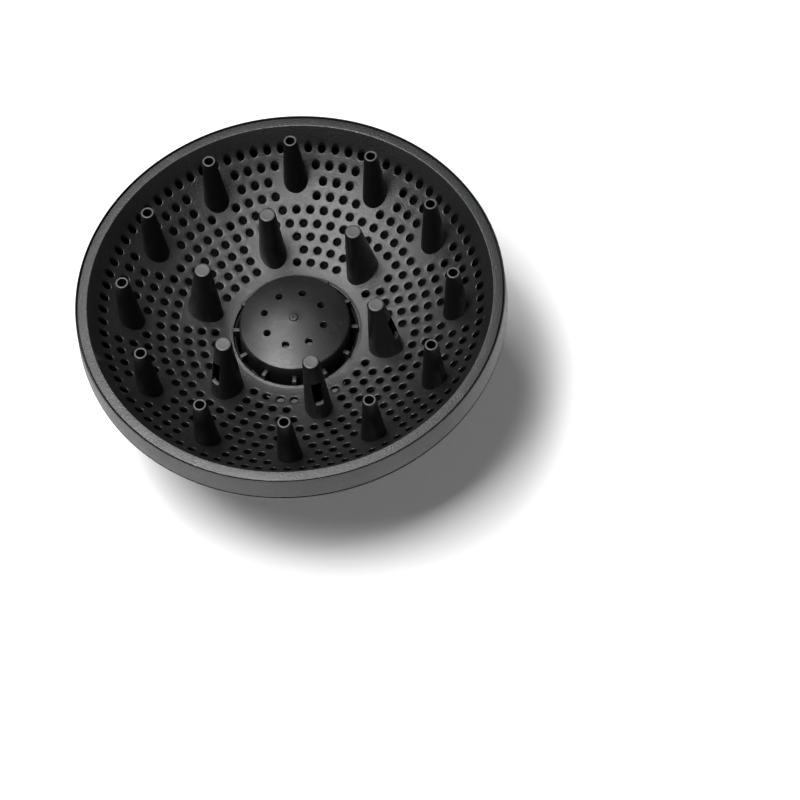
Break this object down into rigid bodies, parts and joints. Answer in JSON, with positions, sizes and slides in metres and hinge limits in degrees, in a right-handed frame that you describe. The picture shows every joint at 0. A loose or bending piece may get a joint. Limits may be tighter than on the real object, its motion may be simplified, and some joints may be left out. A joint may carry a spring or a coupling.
{
  "type": "hair dryer diffuser",
  "caption": "Round clip-on hair dryer diffuser: perforated dish with hollow outer fingers, windowed inner fingers, a centre deflector disc and a bell housing with a gripping neck.",
  "frame": {"origin": "centre of the neck's end face, on the object's axis", "axes": "+Z along the axis and out of the dish, +X through one outer finger"},
  "size_m": [0.172, 0.172, 0.0853],
  "materials": {
    "dish_plastic": "fine moulded grain, satin",
    "housing_plastic": "fine moulded grain, matte",
    "finger_plastic": "smooth satin",
    "grip_rubber": "soft matte"
  },
  "bodies": {
    "root": {"front_dish": "dish_plastic", "hub_deflector": "dish_plastic", "rim_band": "housing_plastic", "rear_housing": "housing_plastic", "neck_grip_ring": "grip_rubber", "outer_finger_01": "finger_plastic", "outer_finger_02": "finger_plastic", "outer_finger_03": "finger_plastic", "outer_finger_04": "finger_plastic", "outer_finger_05": "finger_plastic", "outer_finger_06": "finger_plastic", "outer_finger_07": "finger_plastic", "outer_finger_08": "finger_plastic", "outer_finger_09": "finger_plastic", "outer_finger_10": "finger_plastic", "outer_finger_11": "finger_plastic", "outer_finger_12": "finger_plastic", "inner_finger_1": "finger_plastic", "inner_finger_2": "finger_plastic", "inner_finger_3": "finger_plastic", "inner_finger_4": "finger_plastic", "inner_finger_5": "finger_plastic", "inner_finger_6": "finger_plastic"}
  },
  "joints": []
}
